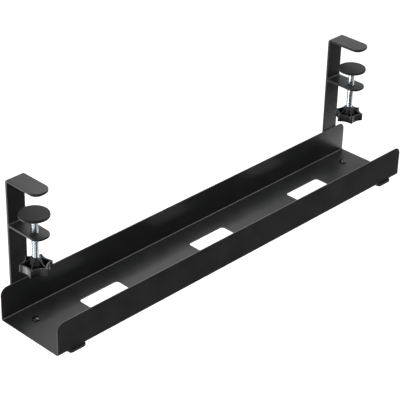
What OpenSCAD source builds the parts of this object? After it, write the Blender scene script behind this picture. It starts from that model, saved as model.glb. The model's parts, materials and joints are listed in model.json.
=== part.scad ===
// Under-desk cable rail with two screw clamps.
// X runs along the rail, -Y faces forward under the desk, +Z is up.
// The origin is the middle of the footprint, at the lowest face.

/* [Rail] */
// Length of the rail
rail_length = 600; // [540:10:900]
// Depth over both walls
rail_depth = 98; // [80:1:140]
// Height of both walls above the rail's underside
wall_height = 42.5; // [30:0.5:60]
// Thickness of the folded sheet
sheet = 1.2; // [0.8:0.1:2]
// Inside radius of the two folds
fold_radius = 1.2; // [0.5:0.1:3]
// Radius of the walls' upper end corners
wall_corner = 10; // [3:1:20]

/* [Cut-outs] */
// Number of cut-outs in the rail's floor
cutout_count = 3; // [1:1:3]
// Length of a cut-out along the rail
cutout_length = 60; // [30:1:90]
// Width of a cut-out across the rail
cutout_width = 35; // [15:1:50]
// Radius of a cut-out's corners
cutout_corner = 4; // [1:0.5:7]
// Distance between the middles of neighbouring cut-outs
cutout_pitch = 180; // [120:5:200]

/* [Brackets] */
// Distance from a rail end to the middle of its bracket
bracket_inset = 29; // [20:1:50]
// Width of the bent strap
strap_width = 25; // [20:1:32]
// Thickness of the bent strap
strap = 3; // [2:0.5:4]
// Inside radius of the strap's bends
bend_radius = 0.5; // [0.2:0.1:1.2]
// Height from the arm's underside to the jaw's top
bracket_height = 180; // [176:1:200]
// Reach of the jaw in front of the upright
jaw_reach = 48; // [42:1:60]
// Radius of the jaw's front corners
jaw_corner = 11; // [4:0.5:12]
// Distance that the arm shows in front of the rail
arm_overhang = 2; // [1:0.5:6]
// Radius of the arm's front corners
arm_corner = 4.5; // [1:0.5:8]

/* [Jaw pad] */
// Thickness of the pad under the jaw
jaw_pad_thickness = 1.5; // [1:0.5:3]
// Margin of bare jaw around the pad
jaw_pad_margin = 1.5; // [1:0.5:4]

/* [Clamp shelf] */
// Drop from the jaw's top to the shelf's top
shelf_drop = 57; // [54:1:64]
// Thickness of the shelf
shelf_thickness = 3; // [2:0.5:4]
// Reach of the shelf in front of the upright
shelf_reach = 48; // [42:1:60]
// Radius of the shelf's front corners
shelf_corner = 11; // [4:0.5:12]
// Leg of the weld bead between shelf and upright
weld_leg = 1.5; // [1:0.1:2]

/* [Clamp screw] */
// Nominal diameter of the clamp screw
screw_diameter = 8; // [6:1:8]
// Length of the clamp screw from its head to its shoulder
screw_length = 63; // [60:1:68]
// Distance of the screw's axis from the upright's front face
screw_offset = 30; // [26:1:34]
// Width of the screw's hexagon head across its flats
head_width = 13; // [10:1:13]
// Height of the screw's hexagon head
head_height = 5.3; // [4:0.1:6]
// Diameter of the turned tip that carries the pressure plate
tip_diameter = 5; // [4:0.5:5.5]
// Diameter of the rivet head on the tip
rivet_diameter = 7; // [6.5:0.1:8]
// Height of the rivet head on the tip
rivet_height = 0.65; // [0.4:0.05:0.9]

/* [Weld nut] */
// Width of the weld nut across its flats
nut_width = 13; // [12:1:15]
// Height of the weld nut
nut_height = 4; // [3:0.5:8]

/* [Pressure plate] */
// Gap between the jaw pad and the plate pad as shown
clamp_gap = 29; // [24:1:40]
// Diameter of the pressure plate
plate_diameter = 36; // [30:1:40]
// Thickness of the pressure plate
plate_thickness = 2; // [1.6:0.1:3]
// Radius of the rounded rims of plate and pad
plate_rim = 0.5; // [0.2:0.1:0.6]
// Diameter of the collar under the plate
collar_diameter = 12; // [10:1:16]
// Height of the collar under the plate
collar_height = 1.5; // [1:0.5:3]
// Depth of the pocket for the rivet head
rivet_pocket = 0.8; // [0.6:0.1:1.1]
// Thickness of the rubber pad on the plate
plate_pad_thickness = 1.2; // [0.8:0.1:3]
// Step from the plate's rim to the pad's rim
plate_pad_step = 0.3; // [0.1:0.1:1]

/* [Star knob] */
// Number of lobes
knob_lobes = 6; // [5:1:8]
// Diameter over the lobes
knob_diameter = 38; // [36:0.5:44]
// Diameter across the hollows between the lobes
knob_waist = 29; // [28:0.5:30]
// Radius of the lobe tips
lobe_radius = 1.2; // [1:0.1:2]
// Height of the knob's rim
knob_height = 9.5; // [9:0.5:14]
// Thickness of the knob's wall at the hollows
knob_wall = 1.9; // [1.4:0.1:2.4]
// Thickness of the knob's floor
knob_floor = 2.5; // [1.5:0.5:3]
// Radius inside the hollow lobes
hollow_radius = 0.6; // [0.4:0.1:0.8]
// Thickness of the ribs
rib_thickness = 1.4; // [1:0.1:2]
// Height from the knob's underside to the hub's top
hub_height = 17.3; // [15:0.1:19]
// Diameter of the hub's top
hub_top_diameter = 10.8; // [10:0.1:12]
// Diameter of the hub at the height of the rim
hub_rim_diameter = 17.6; // [17:0.1:20]
// Diameter of the hub at the knob's floor
hub_foot_diameter = 20; // [19:0.5:22]
// Drop from the hub's top to the top of the ribs
rib_drop = 0.8; // [0.4:0.1:2]
// Distance of the ribs' knee from the knob's axis
rib_knee = 11.2; // [10:0.1:13]
// Rise of the ribs above the rim at their knee
rib_rise = 3; // [1:0.5:4]
// Direction of a lobe of the left knob
left_knob_angle = 31; // [0:1:60]
// Direction of a lobe of the right knob
right_knob_angle = 52.8; // [0:0.1:60]

/* [Rail screws] */
// Nominal diameter of the rail screws
rail_screw_diameter = 5; // [4:0.5:5]
// Length of the rail screws under their heads
rail_screw_length = 8; // [8:0.5:10]
// Diameter of the pan heads
pan_diameter = 9.5; // [9:0.1:11]
// Height of the pan heads
pan_height = 2.8; // [2.2:0.1:3.6]
// Distance from a wall's outer face to the rail screws
rail_screw_inset = 26.5; // [20:0.5:30]
// Width of the rail nuts across their flats
rail_nut_width = 8; // [8:0.5:10]
// Height of the rail nuts
rail_nut_height = 4; // [3:0.1:6]
// Length of the cross recess in the pan heads
recess_length = 5; // [4:0.1:6]
// Width of the cross recess
recess_width = 1.1; // [0.8:0.1:1.4]
// Depth of the cross recess
recess_depth = 1.6; // [1:0.1:2]

/* [Clearances] */
// Radial clearance of the clamp screw in the weld nut
thread_clearance = 0.075; // [0.05:0.005:0.1]
// Radial clearance of the screw's tip in the pressure plate
tip_clearance = 0.05; // [0.02:0.01:0.1]
// Clearance of the rivet head in its pocket
rivet_clearance = 0.3; // [0.2:0.05:0.4]
// Axial play of the pressure plate on the tip
axial_play = 0.05; // [0.02:0.01:0.1]
// Radial clearance of the clamp screw in the shelf
shelf_clearance = 0.5; // [0.3:0.1:1]
// Clearance of the clamp screw in the knob
knob_clearance = 0.1; // [0.05:0.05:0.2]
// Depth of the screw's head inside the knob's underside
head_recess = 0.3; // [0.1:0.1:0.5]
// Radial clearance of the rail screws in rail and arms
rail_screw_clearance = 0.25; // [0.1:0.05:0.5]
// Radial clearance of the rail screws in their nuts
rail_nut_clearance = 0.05; // [0.02:0.01:0.1]

/* [Hidden] */
$fn = 64;
arc_steps = 10;

// Colours
powder_black = "#262828";
nylon_black = "#1c1c1d";
rubber_black = "#3a3b3c";
zinc = "#c9d0d6";
dark_zinc = "#4a4b4d";

// Places across the rail
total_depth = strap + rail_depth + arm_overhang;
rear_y = total_depth / 2;
upright_y = rear_y - strap;
front_wall_y = upright_y - rail_depth;
arm_front_y = front_wall_y - arm_overhang;
screw_y = upright_y - screw_offset;
bracket_x = rail_length / 2 - bracket_inset;
rail_screw_rows = [upright_y - rail_screw_inset, front_wall_y + rail_screw_inset];

// Heights, from the rail nuts up
arm_z = rail_nut_height;
rail_z = arm_z + strap;
floor_z = rail_z + sheet;
jaw_top_z = arm_z + bracket_height;
jaw_z = jaw_top_z - strap;
shelf_top_z = jaw_top_z - shelf_drop;
shelf_z = shelf_top_z - shelf_thickness;
plate_pad_top_z = jaw_z - jaw_pad_thickness - clamp_gap;
plate_top_z = plate_pad_top_z - plate_pad_thickness;
plate_z = plate_top_z - plate_thickness;
collar_z = plate_z - collar_height;
shoulder_z = collar_z - axial_play;
head_seat_z = shoulder_z - screw_length;
head_z = head_seat_z - head_height;
knob_z = head_z - head_recess;
rivet_z = plate_top_z - rivet_pocket + axial_play;

// Space that a cut leaves past the faces that it opens
through = 1;
right_angle = 90;
hexagon = 6;
half_hexagon = 180 / hexagon;

// Outlines
function polar(radius, angle) = radius * [cos(angle), sin(angle)];

function arc(centre, radius, from, to, steps = arc_steps) =
    [for (i = [0:steps]) centre + polar(radius, from + (to - from) * i / steps)];

function turned(points, angle) =
    [for (p = points) [p.x * cos(angle) - p.y * sin(angle), p.x * sin(angle) + p.y * cos(angle)]];

// A strip that starts at the X axis and ends forward in two rounded corners
function tongue(width, reach, corner) = concat(
    [[width / 2, 0], [-width / 2, 0]],
    arc([corner - width / 2, corner - reach], corner, 180, 270),
    arc([width / 2 - corner, corner - reach], corner, 270, 360)
);

function rounded_rectangle(width, depth, corner) = concat(
    arc([width / 2 - corner, depth / 2 - corner], corner, 0, 90),
    arc([corner - width / 2, depth / 2 - corner], corner, 90, 180),
    arc([corner - width / 2, corner - depth / 2], corner, 180, 270),
    arc([width / 2 - corner, corner - depth / 2], corner, 270, 360)
);

// Section of the folded sheet, across the rail
function channel_section() =
    let (outer = fold_radius + sheet)
    let (top = rail_z + wall_height)
    let (front = [front_wall_y + outer, rail_z + outer])
    let (rear = [upright_y - outer, rail_z + outer])
    concat(
        [[front_wall_y, top]],
        arc(front, outer, 180, 270),
        arc(rear, outer, 270, 360),
        [[upright_y, top], [upright_y - sheet, top]],
        arc(rear, fold_radius, 360, 270),
        arc(front, fold_radius, 270, 180),
        [[front_wall_y + sheet, top]]
    );

// Outline of the rail seen from the front
function wall_outline() = concat(
    [[-rail_length / 2, rail_z - through], [rail_length / 2, rail_z - through]],
    arc([rail_length / 2 - wall_corner, rail_z + wall_height - wall_corner], wall_corner, 0, 90),
    arc([wall_corner - rail_length / 2, rail_z + wall_height - wall_corner], wall_corner, 90, 180)
);

// Section of the bent strap: jaw, upright and arm
function strap_section() =
    let (outer = bend_radius + strap)
    let (upper = [rear_y - outer, jaw_top_z - outer])
    let (lower = [rear_y - outer, arm_z + outer])
    concat(
        [[upright_y - jaw_reach, jaw_top_z]],
        arc(upper, outer, 90, 0),
        arc(lower, outer, 0, -90),
        [[arm_front_y, arm_z], [arm_front_y, arm_z + strap]],
        arc(lower, bend_radius, -90, 0),
        arc(upper, bend_radius, 0, 90),
        [[upright_y - jaw_reach, jaw_z]]
    );

// A star of convex lobe tips and the concave arcs that run smoothly between them
function star_outline(tip_centre, tip_radius, flank_centre, flank_radius) =
    let (half = 180 / knob_lobes)
    let (meet = atan2(flank_centre * sin(half), flank_centre * cos(half) - tip_centre))
    let (tip = arc([tip_centre, 0], tip_radius, -meet, meet, 6))
    let (flank = arc(polar(flank_centre, half), flank_radius, 180 + meet, 180 + 2 * half - meet, 8))
    let (between = [for (i = [1:len(flank) - 2]) flank[i]])
    [for (lobe = [0:knob_lobes - 1]) each turned(concat(tip, between), 2 * half * lobe)];

// The flanks' circles touch the lobe tips and pass through the waist
half_lobe = 180 / knob_lobes;
lobe_centre = knob_diameter / 2 - lobe_radius;
lobe_reach = lobe_centre * cos(half_lobe);
waist = knob_waist / 2;
flank_radius = (lobe_centre ^ 2 + waist ^ 2 - 2 * waist * lobe_reach - lobe_radius ^ 2)
    / (2 * (lobe_reach + lobe_radius - waist));
flank_centre = waist + flank_radius;

// The hollow keeps the wall along the flanks and has its own smaller tips
hollow_flank = flank_radius + knob_wall;
hollow_centre = flank_centre * cos(half_lobe)
    - sqrt((hollow_flank + hollow_radius) ^ 2 - (flank_centre * sin(half_lobe)) ^ 2);

// Draws a section that is given in Y and Z, along X
module along_x(length) {
    rotate([right_angle, 0, right_angle])
        linear_extrude(length, center = true)
            children();
}

// Draws an outline that is given in X and Z, from the upright's face forward
module toward_front(length) {
    translate([0, upright_y, 0])
        rotate([right_angle, 0, 0])
            linear_extrude(length)
                children();
}

module hexagon_prism(width, height) {
    cylinder(h = height, d = width / cos(half_hexagon), $fn = hexagon);
}

module cutouts() {
    first = -cutout_pitch * (cutout_count - 1) / 2;
    for (i = [0:cutout_count - 1])
        translate([first + i * cutout_pitch, (upright_y + front_wall_y) / 2, rail_z - through])
            linear_extrude(sheet + 2 * through)
                polygon(rounded_rectangle(cutout_length, cutout_width, cutout_corner));
}

// Holes for both rail screws of one bracket, from a height up
module rail_screw_holes(bottom, height) {
    for (y = rail_screw_rows)
        translate([0, y, bottom - through])
            cylinder(h = height + 2 * through, d = rail_screw_diameter + 2 * rail_screw_clearance);
}

// The rail: one sheet folded to a channel
module tray() {
    color(powder_black)
        difference() {
            intersection() {
                along_x(rail_length)
                    polygon(channel_section());
                toward_front(rail_depth)
                    polygon(wall_outline());
            }
            cutouts();
            for (side = [-1, 1])
                translate([side * bracket_x, 0, 0])
                    rail_screw_holes(rail_z, sheet);
        }
}

// Flat prisms that round the front corners of jaw and arm
module strap_plan() {
    middle_z = arm_z + bracket_height / 2;
    arm_reach = rear_y - arm_front_y;
    translate([0, rear_y, arm_z - through])
        linear_extrude(middle_z - arm_z + through)
            polygon(tongue(strap_width, arm_reach, arm_corner));
    translate([0, rear_y, middle_z])
        linear_extrude(jaw_top_z - middle_z + through)
            polygon(tongue(strap_width, strap + jaw_reach, jaw_corner));
}

// Jaw, upright and arm, bent from one strap
module bracket() {
    color(powder_black)
        difference() {
            intersection() {
                along_x(strap_width)
                    polygon(strap_section());
                strap_plan();
            }
            rail_screw_holes(arm_z, strap);
        }
}

// Shelf that carries the clamp screw, with its weld bead on both sides
module clamp_shelf() {
    color(powder_black)
        difference() {
            union() {
                translate([0, upright_y, shelf_z])
                    linear_extrude(shelf_thickness)
                        polygon(tongue(strap_width, shelf_reach, shelf_corner));
                along_x(strap_width)
                    polygon([
                        [upright_y, shelf_z - weld_leg],
                        [upright_y, shelf_top_z + weld_leg],
                        [upright_y - weld_leg, shelf_top_z],
                        [upright_y - weld_leg, shelf_z],
                    ]);
            }
            translate([0, screw_y, shelf_z - through])
                cylinder(h = shelf_thickness + 2 * through, d = screw_diameter + 2 * shelf_clearance);
        }
}

module weld_nut() {
    color(powder_black)
        translate([0, screw_y, shelf_z - nut_height])
            difference() {
                hexagon_prism(nut_width, nut_height);
                translate([0, 0, -through])
                    cylinder(h = nut_height + 2 * through, d = screw_diameter + 2 * thread_clearance);
            }
}

module jaw_pad() {
    color(rubber_black)
        translate([0, upright_y - jaw_pad_margin, jaw_z - jaw_pad_thickness])
            linear_extrude(jaw_pad_thickness)
                polygon(tongue(
                    strap_width - 2 * jaw_pad_margin,
                    jaw_reach - 2 * jaw_pad_margin,
                    jaw_corner - jaw_pad_margin
                ));
}

// Hexagon head, shank and the turned tip with its rivet head
module clamp_screw(angle) {
    color(zinc)
        translate([0, screw_y, 0]) {
            translate([0, 0, head_z])
                rotate(angle)
                    hexagon_prism(head_width, head_height);
            rotate_extrude()
                polygon([
                    [0, head_z],
                    [screw_diameter / 2, head_z],
                    [screw_diameter / 2, shoulder_z],
                    [tip_diameter / 2, shoulder_z],
                    [tip_diameter / 2, rivet_z],
                    [rivet_diameter / 2, rivet_z],
                    [rivet_diameter / 2, rivet_z + rivet_height],
                    [0, rivet_z + rivet_height],
                ]);
        }
}

// Hub of the knob: a foot around the screw's head and a cone above it
module knob_hub() {
    rotate_extrude()
        polygon([
            [0, 0],
            [hub_foot_diameter / 2, 0],
            [hub_foot_diameter / 2, knob_floor],
            [hub_rim_diameter / 2, knob_height],
            [hub_top_diameter / 2, hub_height],
            [0, hub_height],
        ]);
}

// Ribs from the hub to the lobe tips, lower at the rim
module knob_ribs() {
    hub_radius = hub_top_diameter / 2;
    for (lobe = [0:knob_lobes - 1])
        rotate(2 * half_lobe * lobe)
            rotate([right_angle, 0, 0])
                linear_extrude(rib_thickness, center = true)
                    polygon([
                        [hub_radius, 0],
                        [lobe_centre, 0],
                        [lobe_centre, knob_height],
                        [rib_knee, knob_height + rib_rise],
                        [hub_radius, hub_height - rib_drop],
                    ]);
}

module knob(angle) {
    color(nylon_black)
        translate([0, screw_y, knob_z])
            rotate(angle)
                difference() {
                    union() {
                        difference() {
                            linear_extrude(knob_height)
                                polygon(star_outline(lobe_centre, lobe_radius, flank_centre, flank_radius));
                            translate([0, 0, knob_floor])
                                linear_extrude(knob_height)
                                    polygon(star_outline(
                                        hollow_centre, hollow_radius, flank_centre, hollow_flank
                                    ));
                        }
                        knob_hub();
                        knob_ribs();
                    }
                    translate([0, 0, -through])
                        hexagon_prism(head_width + 2 * knob_clearance, head_recess + head_height + through);
                    cylinder(h = hub_height + through, d = screw_diameter + 2 * knob_clearance);
                }
}

// Disc that presses on the desk, with the collar that turns on the screw's tip
module pressure_plate() {
    plate_radius = plate_diameter / 2;
    bore_radius = tip_diameter / 2 + tip_clearance;
    pocket_radius = rivet_diameter / 2 + rivet_clearance;
    color(powder_black)
        translate([0, screw_y, 0])
            rotate_extrude()
                polygon(concat(
                    [
                        [bore_radius, collar_z],
                        [collar_diameter / 2, collar_z],
                        [collar_diameter / 2, plate_z],
                    ],
                    arc([plate_radius - plate_rim, plate_z + plate_rim], plate_rim, 270, 360, 4),
                    [
                        [plate_radius, plate_top_z],
                        [pocket_radius, plate_top_z],
                        [pocket_radius, plate_top_z - rivet_pocket],
                        [bore_radius, plate_top_z - rivet_pocket],
                    ]
                ));
}

module plate_pad() {
    pad_radius = plate_diameter / 2 - plate_pad_step;
    color(rubber_black)
        translate([0, screw_y, 0])
            rotate_extrude()
                polygon(concat(
                    [[0, plate_top_z], [pad_radius, plate_top_z]],
                    arc([pad_radius - plate_rim, plate_pad_top_z - plate_rim], plate_rim, 0, 90, 4),
                    [[0, plate_pad_top_z]]
                ));
}

// Pan-head screw with a cross recess, standing on the rail's floor
module rail_screw() {
    dome_radius = ((pan_diameter / 2) ^ 2 + pan_height ^ 2) / (2 * pan_height);
    dome_angle = acos(pan_diameter / 2 / dome_radius);
    difference() {
        rotate_extrude()
            polygon(concat(
                [
                    [0, -rail_screw_length],
                    [rail_screw_diameter / 2, -rail_screw_length],
                    [rail_screw_diameter / 2, 0],
                ],
                arc([0, pan_height - dome_radius], dome_radius, dome_angle, 90)
            ));
        for (angle = [0, right_angle])
            rotate(angle)
                translate([-recess_length / 2, -recess_width / 2, pan_height - recess_depth])
                    cube([recess_length, recess_width, recess_depth + through]);
    }
}

module tray_screws() {
    color(dark_zinc)
        for (y = rail_screw_rows)
            translate([0, y, floor_z])
                rail_screw();
}

module tray_nuts() {
    color(dark_zinc)
        for (y = rail_screw_rows)
            translate([0, y, arm_z - rail_nut_height])
                difference() {
                    hexagon_prism(rail_nut_width, rail_nut_height);
                    translate([0, 0, -through])
                        cylinder(
                            h = rail_nut_height + 2 * through,
                            d = rail_screw_diameter + 2 * rail_nut_clearance
                        );
                }
}

module on_left() {
    translate([-bracket_x, 0, 0])
        children();
}

module on_right() {
    translate([bracket_x, 0, 0])
        children();
}

tray();

on_left() bracket();  // left_bracket
on_left() clamp_shelf();  // left_clamp_shelf
on_left() weld_nut();  // left_weld_nut
on_left() jaw_pad();  // left_jaw_pad
on_left() clamp_screw(left_knob_angle);  // left_clamp_screw
on_left() knob(left_knob_angle);  // left_knob
on_left() pressure_plate();  // left_pressure_plate
on_left() plate_pad();  // left_plate_pad
on_left() tray_screws();  // left_tray_screws
on_left() tray_nuts();  // left_tray_nuts

on_right() bracket();  // right_bracket
on_right() clamp_shelf();  // right_clamp_shelf
on_right() weld_nut();  // right_weld_nut
on_right() jaw_pad();  // right_jaw_pad
on_right() clamp_screw(right_knob_angle);  // right_clamp_screw
on_right() knob(right_knob_angle);  // right_knob
on_right() pressure_plate();  // right_pressure_plate
on_right() plate_pad();  // right_plate_pad
on_right() tray_screws();  // right_tray_screws
on_right() tray_nuts();  // right_tray_nuts
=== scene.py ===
import json
from math import atan2, cos, degrees, pi, radians, sin, sqrt, tan

import bmesh
import bpy
from mathutils import Matrix, Vector

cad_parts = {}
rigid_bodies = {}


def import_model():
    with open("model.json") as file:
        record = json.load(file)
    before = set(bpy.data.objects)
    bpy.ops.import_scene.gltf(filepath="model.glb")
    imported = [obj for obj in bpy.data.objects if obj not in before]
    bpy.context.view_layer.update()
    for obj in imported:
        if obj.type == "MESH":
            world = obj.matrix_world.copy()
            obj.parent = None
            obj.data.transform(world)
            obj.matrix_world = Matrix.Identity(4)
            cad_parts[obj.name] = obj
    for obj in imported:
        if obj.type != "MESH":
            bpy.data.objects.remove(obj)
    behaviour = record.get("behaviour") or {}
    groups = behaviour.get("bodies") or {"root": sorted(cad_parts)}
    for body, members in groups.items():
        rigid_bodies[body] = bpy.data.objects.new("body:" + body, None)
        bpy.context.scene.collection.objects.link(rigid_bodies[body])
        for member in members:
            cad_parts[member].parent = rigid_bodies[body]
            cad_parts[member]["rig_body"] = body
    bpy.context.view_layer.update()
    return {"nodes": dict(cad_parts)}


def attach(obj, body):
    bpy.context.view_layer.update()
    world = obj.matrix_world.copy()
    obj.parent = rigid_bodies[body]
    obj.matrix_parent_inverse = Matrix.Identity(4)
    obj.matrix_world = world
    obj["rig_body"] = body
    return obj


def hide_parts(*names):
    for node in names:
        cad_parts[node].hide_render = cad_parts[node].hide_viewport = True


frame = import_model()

mm = 0.001
scene = bpy.context.scene
scene.view_settings.view_transform = "Standard"
print("frame:", len(frame["nodes"]), "nodes")


# Camera: two brackets seen from the front left and above
photoView = {
    "azimuth": -46.118,  # degrees from straight in front, negative is to the left
    "elevation": 30.266,
    "roll": 1.425,
    "target": (-21.79, 7.36, 71.82),  # mm
    "distance": 1879.65,  # mm
    "lens": 139.428,  # mm
    "sensor": 36,  # mm
    "clip": (0.05, 30),  # m
}


def placeCamera(view):
    azimuth, elevation, roll = (radians(view[k]) for k in ("azimuth", "elevation", "roll"))
    back = Vector((sin(azimuth) * cos(elevation), -cos(azimuth) * cos(elevation), sin(elevation)))
    level = Vector((cos(azimuth), sin(azimuth), 0))
    right = cos(roll) * level + sin(roll) * back.cross(level)
    turn = Matrix((right, back.cross(right), back)).transposed().to_4x4()
    place = (Vector(view["target"]) + back * view["distance"]) * mm
    data = bpy.data.cameras.new("camera")
    data.lens, data.sensor_width = view["lens"], view["sensor"]
    data.clip_start, data.clip_end = view["clip"]
    camera = bpy.data.objects.new("camera", data)
    camera.matrix_world = Matrix.Translation(place) @ turn
    scene.collection.objects.link(camera)
    scene.camera = camera


placeCamera(photoView)
print("camera placed")


# Studio: softboxes and dark cards round the rail, a pale world and a pale floor far below
studio = {
    "middle": (0, 0, 0.09),  # m, where the softboxes point
    "softboxes": {  # away and size in m
        "backRight": {"toward": (0.5, 0.52, 0.69), "away": 1.5, "size": (0.55, 0.4), "radiance": 11.0},
        "backHigh": {"toward": (0.37, 0.38, 0.85), "away": 1.5, "size": (0.6, 0.35), "radiance": 7.0},
        "frontRight": {"toward": (0.61, -0.35, 0.71), "away": 1.5, "size": (0.4, 0.4), "radiance": 9.0},
        "lowLeft": {"toward": (-0.76, 0.48, -0.44), "away": 1.0, "size": (0.5, 0.4), "radiance": 5.5},
        "overhead": {"toward": (0, -0.1, 1), "away": 1.3, "size": (1.4, 1.0), "radiance": 1.2},
        "pastRightEnd": {
            "toward": (0.94, 0.02, -0.35), "away": 0.44, "size": (0.09, 0.08), "radiance": 4.5,
        },
        "underRail": {"toward": (0, -0.16, -0.99), "away": 0.127, "size": (0.8, 0.05), "radiance": 2.2},
    },
    "darkCards": {  # upright, along the rail; places and sizes in m
        "frontLeftCard": {"centre": (-0.33, -0.36, -0.10), "size": (0.35, 0.28), "grey": 0.01},
        "frontRightCard": {"centre": (0.455, -0.36, -0.255), "size": (1.08, 0.49), "grey": 0.01},
        "frontHighCard": {"centre": (-0.82, -0.75, 0.44), "size": (1.3, 0.5), "grey": 0.02},
    },
    "worldLight": 0.45,
    "floorDrop": 0.55,  # m under the lowest face
    "floorSize": 14,  # m
    "floorGreys": (0.71, 0.74),
    "floorPatch": 300,  # mm
    "floorGlow": 0.68,  # what it takes, with the lamps' light, to look white
}


def hangSoftbox(name, box):
    # its width runs as near to the rail's direction as it can
    toward = Vector(box["toward"]).normalized()
    width = (Vector((1, 0, 0)) - toward * toward.x).normalized()
    data = bpy.data.lights.new(name, "AREA")
    data.shape = "RECTANGLE"
    data.size, data.size_y = box["size"]
    data.energy = box["radiance"] * pi * data.size * data.size_y
    lamp = bpy.data.objects.new(name, data)
    turn = Matrix((width, toward.cross(width), toward)).transposed().to_4x4()
    place = Vector(studio["middle"]) + toward * box["away"]
    lamp.matrix_world = Matrix.Translation(place) @ turn
    lamp.visible_camera = False
    scene.collection.objects.link(lamp)


for name, box in studio["softboxes"].items():
    hangSoftbox(name, box)
print("softboxes:", len(studio["softboxes"]))


# Shader maths: a Wire is one output socket, a Finish is one node tree
class Wire:
    def __init__(self, finish, socket):
        self.finish, self.socket = finish, socket

    def maths(self, operation, first, second):
        return self.finish.node("ShaderNodeMath", {"operation": operation}, {0: first, 1: second})

    def __add__(self, other):
        return self.maths("ADD", self, other)

    __radd__ = __add__

    def __sub__(self, other):
        return self.maths("SUBTRACT", self, other)

    def __rsub__(self, other):
        return self.maths("SUBTRACT", other, self)

    def __mul__(self, other):
        return self.maths("MULTIPLY", self, other)

    __rmul__ = __mul__


class Finish:
    def __init__(self, holder):
        holder.use_nodes = True
        self.tree = holder.node_tree
        self.tree.nodes.clear()

    def node(self, kind, settings=None, values=None, output=0):
        made = self.tree.nodes.new(kind)
        for key, value in (settings or {}).items():
            if key == "stops":
                fillRamp(made.color_ramp, value)
            else:
                setattr(made, key, value)
        for key, value in (values or {}).items():
            socket = made.inputs[key]
            if isinstance(value, Wire):
                self.tree.links.new(value.socket, socket)
            else:
                socket.default_value = value
        return Wire(self, made.outputs[output]) if len(made.outputs) else None

    def mix(self, share, first, second):
        # 6, 7 and 2 are the Mix node's colour sockets
        colours = {0: share, 6: first, 7: second}
        return self.node("ShaderNodeMix", {"data_type": "RGBA"}, colours, 2)

    def place(self, stretch=None):
        where = self.node("ShaderNodeTexCoord", output="Object")
        if not stretch:
            return where
        return self.node("ShaderNodeVectorMath", {"operation": "MULTIPLY"}, {0: where, 1: stretch})

    def noise(self, where, size, detail=2.0, roughness=0.5):
        # size is the width of one grain in mm
        values = {"Vector": where, "Scale": 1 / (size * mm), "Detail": detail, "Roughness": roughness}
        return self.node("ShaderNodeTexNoise", None, values)

    def rise(self, factor, low, high):
        # 0 below the low value, 1 above the high one
        stops = [(low, (0, 0, 0, 1)), (high, (1, 1, 1, 1))]
        return self.node("ShaderNodeValToRGB", {"stops": stops}, {"Fac": factor})

    # reads each vertex's share of painted highlight
    def rim(self):
        return self.node("ShaderNodeAttribute", {"attribute_name": "rim"}, output="Fac")

    def bump(self, height, depth):
        # depth is the full height of the relief in mm
        values = {"Strength": 1.0, "Distance": depth * mm, "Height": height}
        return self.node("ShaderNodeBump", None, values)

    def surface(self, values):
        shader = self.node("ShaderNodeBsdfPrincipled", None, values)
        self.node("ShaderNodeOutputMaterial", None, {"Surface": shader})


def fillRamp(ramp, stops):
    while len(ramp.elements) < len(stops):
        ramp.elements.new(1.0)
    for element, (position, colour) in zip(ramp.elements, stops):
        element.position, element.color = position, colour


def newMaterial(name):
    material = bpy.data.materials.new(name)
    return material, Finish(material)


def grey(level):
    return (level, level, level, 1)


# Finishes: sizes of patches and grains, and depths, are in mm
powderCoat = {
    "black": (0.0205, 0.0210, 0.0212, 1),
    "worn": (0.0250, 0.0255, 0.0258, 1),
    "edge": (0.17, 0.171, 0.172, 1),  # painted highlight on rims and bends
    "patch": 26,
    "patchEdge": (0.36, 0.66),  # the cloud's values between which black turns to worn
    "peel": 0.7,  # from crest to crest of the orange peel
    "grit": 0.22,
    "gritShare": 0.25,  # of the peel's depth
    "peelDepth": 0.007,
    "smooth": 0.31,  # roughness where black
    "dull": 0.38,  # roughness where worn
    "gritDull": 0.05,
    "gloss": 0.14,
}


def powderCoatFinish(name):
    material, finish = newMaterial(name)
    where = finish.place()
    cloud = finish.noise(where, powderCoat["patch"], detail=3.0, roughness=0.6)
    peel = finish.noise(where, powderCoat["peel"], detail=1.5)
    grit = finish.noise(where, powderCoat["grit"], detail=1.0)
    worn = finish.rise(cloud, *powderCoat["patchEdge"])
    face = finish.mix(worn, powderCoat["black"], powderCoat["worn"])
    dulling = (powderCoat["dull"] - powderCoat["smooth"]) * worn
    finish.surface({
        # rims and bends marked on the mesh get a painted highlight
        "Base Color": finish.mix(finish.rim(), face, powderCoat["edge"]),
        "Roughness": powderCoat["smooth"] + dulling + powderCoat["gritDull"] * (grit - 0.5),
        "Specular IOR Level": powderCoat["gloss"],
        "Normal": finish.bump(peel + powderCoat["gritShare"] * grit, powderCoat["peelDepth"]),
    })
    return material


knobNylon = {
    "black": (0.0060, 0.0060, 0.0064, 1),
    "flow": (0.0095, 0.0095, 0.0100, 1),
    "edge": (0.050, 0.050, 0.051, 1),  # painted highlight on the knob's rims and ribs
    "flowSize": 9,
    "flowStretch": (1, 1, 0.35),  # the melt ran upward in the mould
    "grain": 0.3,
    "grainDepth": 0.006,
    "smooth": 0.18,
    "flowDull": 0.08,
    "grainDull": 0.06,
    "gloss": 0.25,
}


def knobNylonFinish(name):
    material, finish = newMaterial(name)
    where = finish.place(knobNylon["flowStretch"])
    flow = finish.noise(where, knobNylon["flowSize"], detail=2.0, roughness=0.55)
    grain = finish.noise(finish.place(), knobNylon["grain"])
    face = finish.mix(flow, knobNylon["black"], knobNylon["flow"])
    dulling = knobNylon["flowDull"] * flow + knobNylon["grainDull"] * (grain - 0.5)
    finish.surface({
        # rims and ribs marked on the mesh get a painted highlight
        "Base Color": finish.mix(finish.rim(), face, knobNylon["edge"]),
        "Roughness": knobNylon["smooth"] + dulling,
        "Specular IOR Level": knobNylon["gloss"],
        "Normal": finish.bump(grain, knobNylon["grainDepth"]),
    })
    return material


rubber = {
    "black": (0.015, 0.015, 0.016, 1),
    "bloom": (0.028, 0.028, 0.029, 1),  # the greyish film that rubber gets
    "bloomSize": 7,
    "grain": 0.45,
    "grainDepth": 0.02,
    "smooth": 0.62,
    "bloomDull": 0.2,
    "gloss": 0.2,
}


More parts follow.
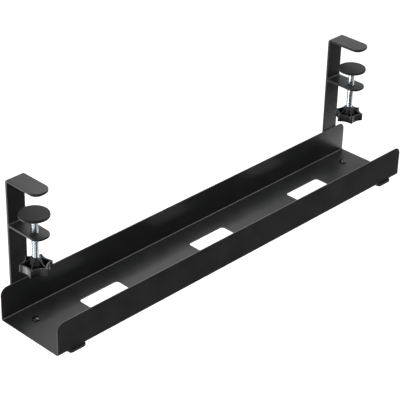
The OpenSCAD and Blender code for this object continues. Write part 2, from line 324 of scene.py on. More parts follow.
def rubberFinish(name):
    material, finish = newMaterial(name)
    where = finish.place()
    bloom = finish.noise(where, rubber["bloomSize"], detail=4.0, roughness=0.65)
    grain = finish.noise(where, rubber["grain"], detail=3.0, roughness=0.6)
    finish.surface({
        "Base Color": finish.mix(bloom, rubber["black"], rubber["bloom"]),
        "Roughness": rubber["smooth"] + rubber["bloomDull"] * bloom,
        "Specular IOR Level": rubber["gloss"],
        "Normal": finish.bump(grain, rubber["grainDepth"]),
    })
    return material


zincPlate = {
    "bright": (0.78, 0.81, 0.83, 1),
    "blue": (0.68, 0.74, 0.80, 1),  # the bluish tint of clear chromate
    "stain": (0.70, 0.70, 0.66, 1),
    "tintSize": 5,
    "stainSize": 2.2,
    "stainEdge": (0.52, 0.75),
    "stainShare": 0.5,
    "grain": 0.12,
    "grainDepth": 0.0006,
    "smooth": 0.16,
    "tintDull": 0.06,
    "stainDull": 0.08,
}


def zincPlateFinish(name):
    material, finish = newMaterial(name)
    where = finish.place()
    tint = finish.noise(where, zincPlate["tintSize"], detail=3.0, roughness=0.6)
    stain = finish.noise(where, zincPlate["stainSize"], detail=3.0, roughness=0.7)
    grain = finish.noise(where, zincPlate["grain"])
    bluish = finish.mix(tint, zincPlate["bright"], zincPlate["blue"])
    stained = finish.rise(stain, *zincPlate["stainEdge"])
    dulling = zincPlate["tintDull"] * tint + zincPlate["stainDull"] * stained
    finish.surface({
        "Base Color": finish.mix(zincPlate["stainShare"] * stained, bluish, zincPlate["stain"]),
        "Metallic": 1.0,
        "Roughness": zincPlate["smooth"] + dulling,
        "Normal": finish.bump(grain, zincPlate["grainDepth"]),
    })
    return material


darkZinc = {
    "black": (0.018, 0.018, 0.019, 1),
    "grey": (0.065, 0.065, 0.067, 1),
    "metallic": 0.85,
    "cloud": 1.6,
    "grain": 0.1,
    "grainDepth": 0.0015,
    "smooth": 0.17,
    "cloudDull": 0.10,
}


def darkZincFinish(name):
    material, finish = newMaterial(name)
    where = finish.place()
    cloud = finish.noise(where, darkZinc["cloud"], detail=3.0, roughness=0.6)
    grain = finish.noise(where, darkZinc["grain"])
    finish.surface({
        "Base Color": finish.mix(cloud, darkZinc["black"], darkZinc["grey"]),
        "Metallic": darkZinc["metallic"],
        "Roughness": darkZinc["smooth"] + darkZinc["cloudDull"] * cloud,
        "Normal": finish.bump(grain, darkZinc["grainDepth"]),
    })
    return material


finishes = {
    "powder_coat": powderCoatFinish("satinPowderCoat"),
    "knob_nylon": knobNylonFinish("mouldedNylon"),
    "rubber_pad": rubberFinish("mattRubber"),
    "zinc_plate": zincPlateFinish("brightZinc"),
    "dark_zinc": darkZincFinish("blackZinc"),
}
print("finishes:", len(finishes))


def makeObject(name, bm, material=None):
    mesh = bpy.data.meshes.new(name)
    bm.to_mesh(mesh)
    bm.free()
    if material:
        mesh.materials.append(material)
    made = bpy.data.objects.new(name, mesh)
    scene.collection.objects.link(made)
    return made


# Floor and world: pale, and white where the camera or a reflection sees them
def whiteWhereSeen(finish):
    seen = [finish.node("ShaderNodeLightPath", output=name)
            for name in ("Is Camera Ray", "Is Glossy Ray", "Is Transmission Ray")]
    return finish.node("ShaderNodeClamp", None, {"Value": seen[0] + seen[1] + seen[2]})


def paintFloor():
    material, finish = newMaterial("paleFloor")
    patches = finish.noise(finish.place(), studio["floorPatch"])
    paper = finish.mix(patches, *(grey(level) for level in studio["floorGreys"]))
    plain = finish.node("ShaderNodeBsdfDiffuse", None, {"Color": paper})
    strength = studio["floorGlow"] * whiteWhereSeen(finish)
    glow = finish.node("ShaderNodeEmission", None, {"Color": (1, 1, 1, 1), "Strength": strength})
    lit = finish.node("ShaderNodeAddShader", None, {0: plain, 1: glow})
    clear = finish.node("ShaderNodeBsdfTransparent")
    fromBelow = finish.node("ShaderNodeNewGeometry", output="Backfacing")
    shown = finish.node("ShaderNodeMixShader", None, {0: fromBelow, 1: lit, 2: clear})
    finish.node("ShaderNodeOutputMaterial", None, {"Surface": shown})
    return material


def layFloor():
    bm = bmesh.new()
    bmesh.ops.create_grid(bm, x_segments=8, y_segments=8, size=studio["floorSize"] / 2)
    bm.transform(Matrix.Translation((0, 0, -studio["floorDrop"])))
    floor = makeObject("floor", bm, paintFloor())


def lightWorld():
    world = bpy.data.worlds.new("paleWorld")
    finish = Finish(world)
    seen = whiteWhereSeen(finish)
    strength = studio["worldLight"] + (1 - studio["worldLight"]) * seen
    pale = finish.node("ShaderNodeBackground", None, {"Color": (1, 1, 1, 1), "Strength": strength})
    finish.node("ShaderNodeOutputWorld", None, {"Surface": pale})
    scene.world = world


def standCard(name, card):
    # a photographer's dark card, which only reflections see
    width, height = card["size"]
    bm = bmesh.new()
    bmesh.ops.create_grid(bm, x_segments=2, y_segments=2, size=0.5)
    upright = Matrix.Rotation(pi / 2, 4, "X") @ Matrix.Diagonal((width, height, 1, 1))
    bm.transform(Matrix.Translation(card["centre"]) @ upright)
    material, finish = newMaterial(name)
    dark = finish.node("ShaderNodeBsdfDiffuse", None, {"Color": grey(card["grey"])})
    finish.node("ShaderNodeOutputMaterial", None, {"Surface": dark})
    piece = makeObject(name, bm, material)
    piece.visible_camera = piece.visible_diffuse = piece.visible_shadow = False


layFloor()
for name, card in studio["darkCards"].items():
    standCard(name, card)
lightWorld()
print("floor and world done")


# Outlines, in mm: lists of points, anticlockwise round the material
def arc(centre, radius, start, stop, steps):
    angles = [radians(start + (stop - start) * i / steps) for i in range(steps + 1)]
    return [(centre[0] + radius * cos(a), centre[1] + radius * sin(a)) for a in angles]


def circle(radius, steps=64):
    return arc((0, 0), radius, 0, 360, steps)[:-1]


def roundedSheet(width, length, firstCorner, lastCorner=None, centre=None, steps=10):
    # without a last corner all four are alike, and without a centre it starts at height 0
    lastCorner = firstCorner if lastCorner is None else lastCorner
    shiftX, shiftY = (centre[0], centre[1] - length / 2) if centre else (0, 0)
    outline = []
    for x, y, corner, start in ((-1, 0, firstCorner, 180), (1, 0, firstCorner, 270),
                                (1, 1, lastCorner, 0), (-1, 1, lastCorner, 90)):
        middle = (x * (width / 2 - corner) + shiftX, (length - corner if y else corner) + shiftY)
        outline += arc(middle, corner, start, start + 90, steps) if corner else [middle]
    return outline


def roundHole(centre, diameter, steps=36):
    return arc(centre, diameter / 2, 360, 0, steps)[:-1]


def drawnIn(loop, distance):
    # moves every side of a closed outline into the material
    inner = []
    for i, (x, y) in enumerate(loop):
        before = Vector((x, y)) - Vector(loop[i - 1])
        after = Vector(loop[(i + 1) % len(loop)]) - Vector((x, y))
        before, after = (Vector((-side.y, side.x)).normalized() for side in (before, after))
        shift = (before + after) * distance / (1 + before.dot(after))
        inner.append((Vector((x, y)) + shift).to_tuple())
    return inner


def quarterRim(radius, steps=3):
    # (how far the side is drawn in, depth) from a face down to the side
    angles = [pi / 2 * i / steps for i in range(steps + 1)]
    return [(radius * (1 - sin(a)), radius * (1 - cos(a))) for a in angles]


def roundedRim(radius, thickness):
    # the same from one face of a plate to the other
    quarter = quarterRim(radius)
    return quarter + [(inward, thickness - depth) for inward, depth in reversed(quarter)]


# Mesh helpers, in mm
weldGap = 0.002  # points nearer to each other than this become one
paintedHighlightShares = {  # how far each rim, bend and bead takes on its finish's painted highlight colour, up to 1
    "thinSheet": 2,  # mm; a sheet thinner than this gets the painted highlight right across its edge
    "thinEdge": 0.6,
    "thickEdge": 0.25,
    "bendWidth": 0.25,  # share of a bend's length, to each side of its middle
    "bend": 1.0,
    "bead": 0.35,
    "knob": 1.0,
}


def newPiece():
    # each vertex carries its share of painted highlight, 0 unless it is marked
    bm = bmesh.new()
    bm.verts.layers.float.new("rim")
    return bm


def markPaintedHighlight(bm, verts, share):
    layer = bm.verts.layers.float["rim"]
    for vert in verts:
        vert[layer] = share


def joinRings(bm, first, second):
    for i in range(len(first)):
        bm.faces.new((first[i - 1], first[i], second[i], second[i - 1]))


def joinInTurn(bm, rings):
    for first, second in zip(rings, rings[1:]):
        joinRings(bm, first, second)


def closeEnds(bm, rings):
    bm.faces.new(rings[0])
    bm.faces.new(rings[-1])


def loft(bm, levels, closed=False):
    # levels are (points, height); closed joins the last level to the first
    rings = [[bm.verts.new((x, y, height)) for x, y in points] for points, height in levels]
    joinInTurn(bm, rings)
    if closed:
        joinRings(bm, rings[-1], rings[0])
    else:
        closeEnds(bm, rings)
    return rings


def revolve(bm, profile, closed=False, steps=64):
    # profile is a list of (radius, height)
    loft(bm, [(circle(radius, steps), height) for radius, height in profile], closed)


def moved(bm, x=0.0, y=0.0, z=0.0, turn=0.0):
    bm.transform(Matrix.Translation((x, y, z)) @ Matrix.Rotation(radians(turn), 4, "Z"))
    return bm


def merged(parts):
    whole = bmesh.new()
    for part in parts:
        mesh = bpy.data.meshes.new("part")
        part.to_mesh(mesh)
        part.free()
        whole.from_mesh(mesh)
        bpy.data.meshes.remove(mesh)
    return whole


def weld(bm):
    bmesh.ops.remove_doubles(bm, verts=bm.verts[:], dist=weldGap)
    bmesh.ops.dissolve_degenerate(bm, edges=bm.edges[:], dist=weldGap)


def carved(solid, cutters):
    bmesh.ops.recalc_face_normals(solid, faces=solid.faces[:])
    objects = [makeObject("carving", bm) for bm in [solid] + cutters]
    for cutter in objects[1:]:
        cut = objects[0].modifiers.new("cut", "BOOLEAN")
        cut.operation, cut.solver, cut.object = "DIFFERENCE", "EXACT", cutter
    result = bmesh.new()
    result.from_object(objects[0], bpy.context.evaluated_depsgraph_get())
    for carving in objects:
        mesh = carving.data
        bpy.data.objects.remove(carving)
        bpy.data.meshes.remove(mesh)
    weld(result)
    return result


def placePiece(node, bm, slot, sharp=38):
    first, *rest = node.split("_")
    name = first + "".join(word.capitalize() for word in rest) + "Dressed"
    bmesh.ops.recalc_face_normals(bm, faces=bm.faces[:])
    if bm.calc_volume(signed=True) < 0:  # a hook-shaped piece can come out inside out
        bmesh.ops.reverse_faces(bm, faces=bm.faces[:])
    bm.transform(Matrix.Scale(mm, 4))
    piece = makeObject(name, bm, finishes[slot])
    piece.data.polygons.foreach_set("use_smooth", [True] * len(piece.data.polygons))
    piece.data.set_sharp_from_angle(angle=radians(sharp))
    even = piece.modifiers.new("evenShading", "WEIGHTED_NORMAL")
    even.keep_sharp = True
    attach(piece, frame["nodes"][node]["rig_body"])
    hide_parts(node)


# Sheet metal: a flat plate with rounded edges, then its folds
def plate(outline, holes, thickness, rim):
    # from depth 0 to its thickness
    bm = newPiece()
    levels = roundedRim(rim, thickness)
    thin = thickness < paintedHighlightShares["thinSheet"]
    share = paintedHighlightShares["thinEdge"] if thin else paintedHighlightShares["thickEdge"]
    faces = ([], [])
    for loop in [outline] + holes:
        rings = [[bm.verts.new((x, y, depth)) for x, y in drawnIn(loop, inward)]
                 for inward, depth in levels]
        joinInTurn(bm, rings)
        # the rounded edges get a painted highlight, right across the edge of a thin sheet
        for ring, (inward, _) in zip(rings, levels):
            if inward < rim and (inward or thin):
                markPaintedHighlight(bm, ring, share)
        for ring, edges in zip((rings[0], rings[-1]), faces):
            edges += [bm.edges.get((ring[i - 1], ring[i])) for i in range(len(ring))]
    for edges in faces:
        bmesh.ops.triangle_fill(bm, use_beauty=True, edges=edges)
    return bm


def foldedPoint(profile, run, depth):
    # follows the outer face of a folded strip; returns across and height
    heading, side, radius = radians(profile["heading"]), profile["side"], profile["outerBend"]
    along = Vector((cos(heading), sin(heading)))
    inward = Vector((-along.y, along.x)) * side
    point = Vector(profile["start"])
    bend = radius * pi / 2
    for leg in profile["legs"][:-1]:
        if run <= leg:
            return point + along * run + inward * depth
        run, point = run - leg, point + along * leg
        if run <= bend:
            centre, angle, inner = point + inward * radius, run / radius, radius - depth
            return centre + along * sin(angle) * inner - inward * cos(angle) * inner
        run, point = run - bend, point + (along + inward) * radius
        along, inward = inward.copy(), -along
    return point + along * run + inward * depth


def foldPlate(bm, profile, steps=10):
    bend, run = profile["outerBend"] * pi / 2, 0
    middles = []
    for leg in profile["legs"][:-1]:
        run += leg
        middles.append(run + bend / 2)
        for i in range(steps + 1):
            everything = bm.verts[:] + bm.edges[:] + bm.faces[:]
            place = (0, run + bend * i / steps, 0)
            bmesh.ops.bisect_plane(bm, geom=everything, plane_co=place, plane_no=(0, 1, 0))
        run += bend
    for vert in bm.verts:
        x, run, depth = vert.co
        # the middle of each bend gets a painted highlight
        if min(abs(run - middle) for middle in middles) < bend * paintedHighlightShares["bendWidth"]:
            markPaintedHighlight(bm, [vert], paintedHighlightShares["bend"])
        across, height = foldedPoint(profile, run, depth)
        vert.co = (x, across, height)
    return bm


def profileLength(profile):
    legs = profile["legs"]
    return sum(legs) + profile["outerBend"] * pi / 2 * (len(legs) - 1)


# Fasteners: hexagons and threads
hexagon = {
    "flat": 0.96,  # share of the width that stays flat at the ends
    "chamfer": 30,  # degrees
    "sink": 0.06,  # a bore's countersink, share of the width
}
thread = {
    "depth": 0.61,  # share of the pitch
    "section": ((0.0, 0), (0.36, 1), (0.48, 1), (0.84, 0)),  # shares of pitch and depth
    "fade": 0.5,  # turns over which the crest fades out at both ends
}


def hexagonReach(width, angle):
    return width / 2 / cos(angle % (pi / 3) - pi / 6)


def hexagonBody(bm, width, bottom, top, bore=None, steps=48):
    # both ends are chamfered, and a bore is countersunk
    flat = width / 2 * hexagon["flat"]
    angles = [2 * pi * i / steps for i in range(steps)]
    reach = [hexagonReach(width, a) for a in angles]
    drop = [(r - flat) * tan(radians(hexagon["chamfer"])) for r in reach]

    def level(radii, heights):
        return [bm.verts.new((r * cos(a), r * sin(a), h)) for a, r, h in zip(angles, radii, heights)]

    def roundLevel(radius, height):
        return level([radius] * steps, [height] * steps)

    rings = [roundLevel(flat, bottom), level(reach, [bottom + d for d in drop]),
             level(reach, [top - d for d in drop]), roundLevel(flat, top)]
    if bore:
        sink = hexagon["sink"] * width
        rings += [roundLevel(bore / 2 + sink, top), roundLevel(bore / 2, top - sink),
                  roundLevel(bore / 2, bottom + sink), roundLevel(bore / 2 + sink, bottom)]
        joinRings(bm, rings[-1], rings[0])
    else:
        closeEnds(bm, rings)
    joinInTurn(bm, rings)


def threadedRod(bm, diameter, pitch, bottom, top, steps=40):
    # one long V-shaped helix from below the bottom to above the top, flattened at both
    section, depth, fadeLength = thread["section"], thread["depth"] * pitch, thread["fade"] * pitch
    core = diameter / 2 - depth
    turns = int((top - bottom) / pitch) + 2
    columns = []
    for i in range(turns * steps + 1):
        angle = 2 * pi * (i % steps) / steps
        column = []
        for share, crest in section:
            height = bottom - pitch + pitch * (i / steps + share)
            fade = max(0.0, min(1.0, (height - bottom) / fadeLength, (top - height) / fadeLength))
            radius = core + depth * crest * fade
            place = (radius * cos(angle), radius * sin(angle), max(bottom, min(top, height)))
            column.append(bm.verts.new(place))
        columns.append(column)
    for i in range(turns * steps):
        here, ahead = columns[i], columns[i + 1]
        for k in range(len(section) - 1):
            bm.faces.new((here[k], ahead[k], ahead[k + 1], here[k + 1]))
        if i + steps < len(columns) - 1:
            bm.faces.new((here[-1], ahead[-1], columns[i + steps + 1][0], columns[i + steps][0]))
    weld(bm)
    bmesh.ops.holes_fill(bm, edges=[e for e in bm.edges if e.is_boundary], sides=0)


# Tray: one sheet folded to a channel
tray = {
    "length": 600,
    "sheet": 1.2,
    "wallCorner": 10,
    "rim": 0.5,
    "profile": {  # from the front wall's top edge, down, back and up
        "start": (-49.5, 49.5),
        "heading": -90,  # degrees, 0 is rearward and 90 is up
        "side": 1,  # 1 bends to the left, -1 to the right
        "outerBend": 2.4,
        "legs": (40.1, 93.2, 40.1),
    },
    "cutout": {"length": 60, "width": 35, "corner": 4},
    "cutoutPlaces": (-180, 0, 180),
    "cutoutRow": -0.5,  # across the rail, midway between the walls
    "screwHole": 5.5,
}
bracketPlaces = {"left": -271, "right": 271}
screwRows = (22, -23)  # across the rail


def buildTray():
    profile, cutout = tray["profile"], tray["cutout"]
    floorStart = profile["legs"][0] + profile["outerBend"] * pi / 2
    floorFront = profile["start"][0] + profile["outerBend"]

    def onFloor(x, y):
        return (x, floorStart + y - floorFront)

    holes = [roundedSheet(cutout["length"], cutout["width"], cutout["corner"],
                          centre=onFloor(x, tray["cutoutRow"]))[::-1] for x in tray["cutoutPlaces"]]
    holes += [roundHole(onFloor(x, y), tray["screwHole"])
              for x in bracketPlaces.values() for y in screwRows]
    outline = roundedSheet(tray["length"], profileLength(profile), tray["wallCorner"])
    return foldPlate(plate(outline, holes, tray["sheet"], tray["rim"]), profile)


placePiece("tray", buildTray(), "powder_coat")
print("tray folded")


# Brackets: a strap bent into jaw, upright and arm
bracket = {
    "width": 25,
    "strap": 3,
    "jawCorner": 11,
    "armCorner": 4.5,
    "rim": 0.55,
    "profile": {  # from the jaw's tip, back, down and forward
        "start": (0.5, 184),
        "heading": 0,
        "side": -1,
        "outerBend": 3.5,
        "legs": (47.5, 173, 99.5),
    },
    "armRear": 48,  # where the arm's flat part starts, across the rail
    "screwHole": 5.5,
}


def buildBracket():
    profile = bracket["profile"]
    length = profileLength(profile)
    armStart = length - profile["legs"][2]
    holes = [roundHole((0, armStart + bracket["armRear"] - y), bracket["screwHole"])
             for y in screwRows]
    outline = roundedSheet(bracket["width"], length, bracket["jawCorner"], bracket["armCorner"])
    return foldPlate(plate(outline, holes, bracket["strap"], bracket["rim"]), profile)


# Clamp shelf with a rippled weld bead on both sides
shelf = {
    "width": 25,
    "reach": 48,
    "thickness": 3,
    "corner": 11,
    "rim": 0.55,
    "top": 127,
    "rear": 48.5,
    "hole": 9,
    "screwAt": 18.5,
}
weldBead = {
    "leg": 1.5,
    "ripple": 1.7,  # mm from ripple to ripple
    "groove": 0.22,  # share of the leg
    "lead": 0.7,  # mm by which the middle of a ripple leads
    "endFade": 1.2,  # mm
    "thinnest": 0.02,
    "margin": 0.2,  # mm short of the shelf's sides
    "sunk": 0.05,  # mm into shelf and upright
    "rows": 132,
    "steps": 8,
}


def buildBead(upper):
    # crescents side by side along the shelf's rear edge, from the upright's face to the shelf
    bm = newPiece()
    side = 1 if upper else -1
    face = shelf["top"] if upper else shelf["top"] - shelf["thickness"]
    rear, sunk = shelf["rear"], weldBead["sunk"]
    half, rows, steps = shelf["width"] / 2 - weldBead["margin"], weldBead["rows"], weldBead["steps"]
    columns = []
    for i in range(rows + 1):
        x = -half + 2 * half * i / rows
        toEnd = min(1.0, (half - abs(x)) / weldBead["endFade"])
        fullness = sqrt(max(weldBead["thinnest"], toEnd * (2 - toEnd)))
        column = []
        for k in range(steps + 1):
            angle = pi / 2 * k / steps
            ripple = abs(sin(pi * (x + weldBead["lead"] * sin(2 * angle)) / weldBead["ripple"]))
            size = weldBead["leg"] * (1 - weldBead["groove"] * (1 - sqrt(ripple))) * fullness
            place = (x, rear - size * cos(angle), face + side * size * sin(angle))
            column.append(bm.verts.new(place))
        column.append(bm.verts.new((x, rear + sunk, face - side * sunk)))
        columns.append(column)
    joinInTurn(bm, columns)
    closeEnds(bm, columns)
    # the whole bead gets a light painted highlight
    markPaintedHighlight(bm, bm.verts, paintedHighlightShares["bead"])
    return bm


def buildShelf():
    thickness, reach, rear = shelf["thickness"], shelf["reach"], shelf["rear"]
    outline = roundedSheet(shelf["width"], reach, shelf["corner"], lastCorner=0)
    hole = roundHole((0, reach - rear + shelf["screwAt"]), shelf["hole"])
    flat = plate(outline, [hole], thickness, shelf["rim"])
    moved(flat, y=rear - reach, z=shelf["top"] - thickness)
    return merged([flat, buildBead(True), buildBead(False)])


# Weld nut under the shelf
weldNut = {"width": 13, "bottom": 120, "top": 124, "bore": 8.15}


def buildWeldNut():
    bm = newPiece()
    hexagonBody(bm, weldNut["width"], weldNut["bottom"], weldNut["top"], weldNut["bore"])
    return moved(bm, y=shelf["screwAt"])


# Rubber pad under the jaw
jawPad = {
    "width": 22,
    "reach": 45,
    "thickness": 1.5,
    "frontCorner": 9.5,
    "rearCorner": 0.01,
    "rim": 0.4,
    "bottom": 179.5,
    "rear": 47,
}


def buildJawPad():
    outline = roundedSheet(jawPad["width"], jawPad["reach"], jawPad["frontCorner"],
                           jawPad["rearCorner"])
    flat = plate(outline, [], jawPad["thickness"], jawPad["rim"])
    return moved(flat, y=jawPad["rear"] - jawPad["reach"], z=jawPad["bottom"])


# Clamp screw: a hexagon head in the knob, a rolled thread and a riveted tip
clampScrew = {
    "diameter": 8,
    "pitch": 1.25,
    "head": {"width": 13, "bottom": 77.45, "top": 82.75},
    "shoulder": 145.75,
    "tip": 5,
    "rivet": {"width": 7, "bottom": 148.55},
    # beside the rivet's radius, above its bottom
    "rivetOutline": ((-0.1, 0), (0, 0.15), (-0.3, 0.5), (-1.2, 0.65)),
    "threadSunk": 0.5,  # mm into the head
    "tipSunk": 0.3,  # mm into the shoulder
    "turn": {"left": 31, "right": 52.8},
}


def buildClampScrew(side):
    rod, head, tip = newPiece(), newPiece(), newPiece()
    shape, shoulder = clampScrew["head"], clampScrew["shoulder"]
    hexagonBody(head, shape["width"], shape["bottom"], shape["top"])
    moved(head, turn=clampScrew["turn"][side])
    threadStart = shape["top"] - clampScrew["threadSunk"]
    threadedRod(rod, clampScrew["diameter"], clampScrew["pitch"], threadStart, shoulder)
    tipRadius, rivet = clampScrew["tip"] / 2, clampScrew["rivet"]
    outline = [(tipRadius, shoulder - clampScrew["tipSunk"]), (tipRadius, rivet["bottom"])]
    outline += [(rivet["width"] / 2 + beside, rivet["bottom"] + height)
                for beside, height in clampScrew["rivetOutline"]]
    revolve(tip, outline, steps=40)
    return moved(merged([rod, head, tip]), y=shelf["screwAt"])


# Star knob: six lobes, hollow on top, with a coned hub and thin ribs
knob = {
    "lobes": 6,
    "reach": 19,  # radius over the lobes
    "waist": 14.5,  # radius of the hollows between them
    "lobeRadius": 1.2,
    "rim": 9.5,
    "wall": 1.9,
    "floor": 2.5,
    "floorFillet": 0.3,
    "hollowRadius": 0.6,
    "hub": ((10, 2.5), (8.8, 9.5), (5.4, 17.3)),  # radius and height of foot, rim and top
    "hubEdge": ((0.06, -0.7), (-0.2, -0.2), (-0.7, 0)),  # beside the hub's radius, above its top
    "pocket": {"width": 13.2, "top": 5.6},
    "bore": 4.1,
    "mouth": 0.2,  # chamfer of bore and pocket
    "edge": 0.4,  # radius of the moulded edges
    "innerEdge": 0.8,  # share of it at the hollow's rim
    "bottom": 77.15,
}
knobRib = {
    "thickness": 1.4,
    "drop": 0.8,  # mm from the hub's top
    "knee": (11.2, 12.5),  # distance from the axis, height
    "edge": 0.35,
    "edgeMiddle": 0.3,  # share of the edge where its rounding has its middle point
    "root": 0.6,  # mm into the hub
    "foot": 1,  # height at which it stands in the knob's floor
    "tipDrop": 0.15,  # mm under the knob's rim
}


def starOutline(tipCentre, tipRadius, flankCentre, flankRadius):
    # convex lobe tips and the hollow arcs that run smoothly between them
    half = 180 / knob["lobes"]
    middle = (flankCentre * cos(radians(half)), flankCentre * sin(radians(half)))
    meet = degrees(atan2(middle[1], middle[0] - tipCentre))
    tip = arc((tipCentre, 0), tipRadius, -meet, meet, steps=12)
    flank = arc(middle, flankRadius, 180 + meet, 180 + 2 * half - meet, steps=16)[1:-1]
    outline = []
    for lobe in range(knob["lobes"]):
        turn = Matrix.Rotation(radians(2 * half * lobe), 2)
        outline += [(turn @ Vector(point)).to_tuple() for point in tip + flank]
    return outline


def knobOutlines():
    # the outer one, and the one of the hollow inside the wall
    half = pi / knob["lobes"]
    waist, tip, hollowTip = knob["waist"], knob["lobeRadius"], knob["hollowRadius"]
    lobeCentre = knob["reach"] - tip
    lobeReach = lobeCentre * cos(half)
    square = lobeCentre ** 2 + waist ** 2 - 2 * waist * lobeReach - tip ** 2
    flankRadius = square / (2 * (lobeReach + tip - waist))
    flankCentre = waist + flankRadius
    hollowFlank = flankRadius + knob["wall"]
    aside = flankCentre * sin(half)
    hollowCentre = flankCentre * cos(half) - sqrt((hollowFlank + hollowTip) ** 2 - aside ** 2)
    return (starOutline(lobeCentre, tip, flankCentre, flankRadius),
            starOutline(hollowCentre, hollowTip, flankCentre, hollowFlank))


def knobShell():
    outer, hollow = knobOutlines()
    angles = [atan2(y, x) for x, y in outer]

    def roundRing(radius):
        return [(radius * cos(a), radius * sin(a)) for a in angles]

    def hexagonRing(width):
        return [(hexagonReach(width, a) * cos(a), hexagonReach(width, a) * sin(a)) for a in angles]

    edge, rim, (foot, shoulder, top) = knob["edge"], knob["rim"], knob["hub"]
    pocket, bore, mouth, fillet = knob["pocket"], knob["bore"], knob["mouth"], knob["floorFillet"]
    inner = knob["innerEdge"]
    quarter = quarterRim(edge)
    levels = [(drawnIn(outer, inward), height) for inward, height in roundedRim(edge, rim)]
    levels += [(drawnIn(hollow, -inward * inner), rim - down * inner) for inward, down in quarter]
    levels += [(hollow, knob["floor"] + fillet), (drawnIn(hollow, fillet), knob["floor"]),
               (roundRing(foot[0]), foot[1]), (roundRing(shoulder[0]), shoulder[1])]
    hubEdge = len(levels)
    levels += [(roundRing(top[0] + beside), top[1] + above) for beside, above in knob["hubEdge"]]
    levels += [(roundRing(bore + mouth), top[1]), (roundRing(bore), top[1] - mouth),
               (roundRing(bore), pocket["top"]), (hexagonRing(pocket["width"]), pocket["top"]),
               (hexagonRing(pocket["width"]), mouth), (hexagonRing(pocket["width"] + 2 * mouth), 0)]
    bm = newPiece()
    rings = loft(bm, levels, closed=True)
    # the wall's top rim, inside and out, and the hub's edge get a painted highlight
    for ring in rings[len(quarter):3 * len(quarter)] + rings[hubEdge:hubEdge + 2]:
        markPaintedHighlight(bm, ring, paintedHighlightShares["knob"])
    return bm


def buildKnobRib():
    # stands on the floor from the hub to a lobe tip, lower at the rim
    hubRadius, hubTop = knob["hub"][2]
    root, tip = hubRadius - knobRib["root"], knob["reach"] - knob["lobeRadius"]
    outline = [(root, knobRib["foot"]), (tip, knobRib["foot"]), (tip, knob["rim"] - knobRib["tipDrop"]),
               knobRib["knee"], (root, hubTop - knobRib["drop"])]
    half, edge = knobRib["thickness"] / 2, knobRib["edge"]
    middle = edge * knobRib["edgeMiddle"]
    bm = newPiece()
    sides = [[bm.verts.new((x, y, z)) for x, z in drawnIn(outline, inward)]
             for y, inward in ((-half, edge), (-half + middle, middle), (-half + edge, 0),
                               (half - edge, 0), (half - middle, middle), (half, edge))]
    joinInTurn(bm, sides)
    # the rib's top edges get a painted highlight
    for row in sides[1:-1]:
        markPaintedHighlight(bm, row[2:], paintedHighlightShares["knob"])
    closeEnds(bm, sides)
    return bm


def buildKnob(side):
    ribs = [moved(buildKnobRib(), turn=360 / knob["lobes"] * i) for i in range(knob["lobes"])]
    whole = merged([knobShell()] + ribs)
    return moved(whole, y=shelf["screwAt"], z=knob["bottom"], turn=clampScrew["turn"][side])


# Pressure plate on its collar, with a rubber pad glued on
pressurePlate = {
    "radius": 18,
    "bottom": 147.3,
    "top": 149.3,
    "rim": 0.5,
    "topChamfer": 0.15,
    "collar": {"radius": 6, "bottom": 145.8, "edge": 0.3},
    "bore": 2.55,
    "pocket": {"radius": 3.8, "bottom": 148.5},
}
platePad = {"radius": 17.7, "bottom": 149.3, "top": 150.5, "rim": 0.5, "foot": 0.1}


def buildPressurePlate():
    size, rim, chamfer = pressurePlate["radius"], pressurePlate["rim"], pressurePlate["topChamfer"]
    collar, pocket = pressurePlate["collar"], pressurePlate["pocket"]
    bottom, top, bore = pressurePlate["bottom"], pressurePlate["top"], pressurePlate["bore"]
    neck, foot, edge = collar["radius"], collar["bottom"], collar["edge"]
    outline = [(bore, foot), (neck - edge, foot), (neck, foot + edge), (neck, bottom - edge),
               (neck + edge, bottom)]
    outline += arc((size - rim, bottom + rim), rim, 270, 360, steps=4)
    outline += [(size, top - chamfer), (size - chamfer, top), (pocket["radius"], top),
                (pocket["radius"], pocket["bottom"]), (bore, pocket["bottom"])]
    bm = newPiece()
    revolve(bm, outline, closed=True, steps=96)
    return moved(bm, y=shelf["screwAt"])


def buildPlatePad():
    size, rim, foot = platePad["radius"], platePad["rim"], platePad["foot"]
    outline = [(size - foot, platePad["bottom"]), (size, platePad["bottom"] + foot)]
    outline += arc((size - rim, platePad["top"] - rim), rim, 0, 90, steps=4)
    bm = newPiece()
    revolve(bm, outline, steps=96)
    return moved(bm, y=shelf["screwAt"])


# Tray screws: pan heads with a cross recess, and their nuts under the arm
trayScrew = {
    "diameter": 5,
    "pitch": 0.8,
    "length": 8,
    "shankSunk": 0.1,  # mm into the head
    "head": {
        "width": 9.5,
        "height": 2.8,
        "crown": 9,  # radius of the top
        "crownEnd": 89,  # degrees, a little short of the middle
        "side": 1.6,  # radius of the side
        "foot": (0.15, 0.12),  # chamfer, across and up
    },
    "seat": 8.2,
    "recess": {
        "length": 5,
        "width": 1.1,
        "depth": 1.6,
        "flare": 0.35,
        "corner": 0.15,
        "clear": 0.6,  # mm by which its cutter stands over the head
    },
    "recessTurn": {"left": 20, "right": 65},
    "rowTurn": 31,  # degrees from one row's screw to the next
}
trayNut = {"width": 8, "bottom": 0, "top": 4, "bore": 5.1}


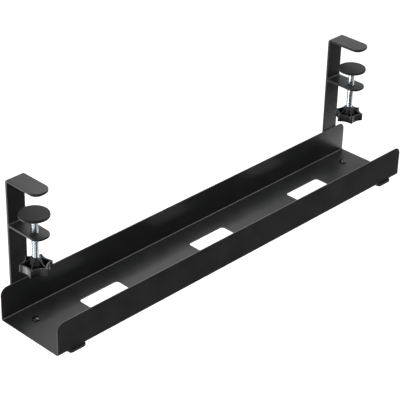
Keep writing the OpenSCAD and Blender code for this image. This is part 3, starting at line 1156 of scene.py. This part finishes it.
def panHead():
    head = trayScrew["head"]
    half, height, crown, side = head["width"] / 2, head["height"], head["crown"], head["side"]
    inset, lift = head["foot"]
    reach = sqrt((crown - side) ** 2 - (half - side) ** 2)
    meet = degrees(atan2(reach, half - side))
    outline = [(half - inset, 0), (half, lift)]
    outline += arc((half - side, height - crown + reach), side, 0, meet, steps=6)
    outline += arc((0, height - crown), crown, meet, head["crownEnd"], steps=7)[1:]
    bm = newPiece()
    revolve(bm, outline, steps=48)
    return bm


def recessCutter(turn):
    # one bar of the cross, wider upward
    recess, top = trayScrew["recess"], trayScrew["head"]["height"]

    def bar(spread):
        return roundedSheet(recess["length"] + spread, recess["width"] + spread, recess["corner"],
                            centre=(0, 0))

    flare, bottom = recess["flare"], top - recess["depth"]
    bm = newPiece()
    loft(bm, [(bar(-flare), bottom), (bar(flare), top + recess["clear"])])
    bmesh.ops.recalc_face_normals(bm, faces=bm.faces[:])
    return moved(bm, turn=turn)


def buildTrayScrew():
    head = carved(panHead(), [recessCutter(0), recessCutter(90)])
    shank = newPiece()
    threadedRod(shank, trayScrew["diameter"], trayScrew["pitch"], -trayScrew["length"],
                trayScrew["shankSunk"], steps=32)
    return merged([head, shank])


def buildTrayScrews(side):
    turn, rowTurn = trayScrew["recessTurn"][side], trayScrew["rowTurn"]
    return merged([moved(buildTrayScrew(), y=y, z=trayScrew["seat"], turn=turn + rowTurn * i)
                   for i, y in enumerate(screwRows)])


def buildTrayNuts():
    nuts = []
    for y in screwRows:
        nut = newPiece()
        hexagonBody(nut, trayNut["width"], trayNut["bottom"], trayNut["top"], trayNut["bore"])
        nuts.append(moved(nut, y=y))
    return merged(nuts)


for side, middle in bracketPlaces.items():
    made = {
        "bracket": (buildBracket(), "powder_coat"),
        "clamp_shelf": (buildShelf(), "powder_coat"),
        "weld_nut": (buildWeldNut(), "powder_coat"),
        "jaw_pad": (buildJawPad(), "rubber_pad"),
        "clamp_screw": (buildClampScrew(side), "zinc_plate"),
        "knob": (buildKnob(side), "knob_nylon"),
        "pressure_plate": (buildPressurePlate(), "powder_coat"),
        "plate_pad": (buildPlatePad(), "rubber_pad"),
        "tray_screws": (buildTrayScrews(side), "dark_zinc"),
        "tray_nuts": (buildTrayNuts(), "dark_zinc"),
    }
    for part, (bm, slot) in made.items():
        placePiece(side + "_" + part, moved(bm, x=middle), slot)
    print(side, "clamp built:", len(made), "pieces")
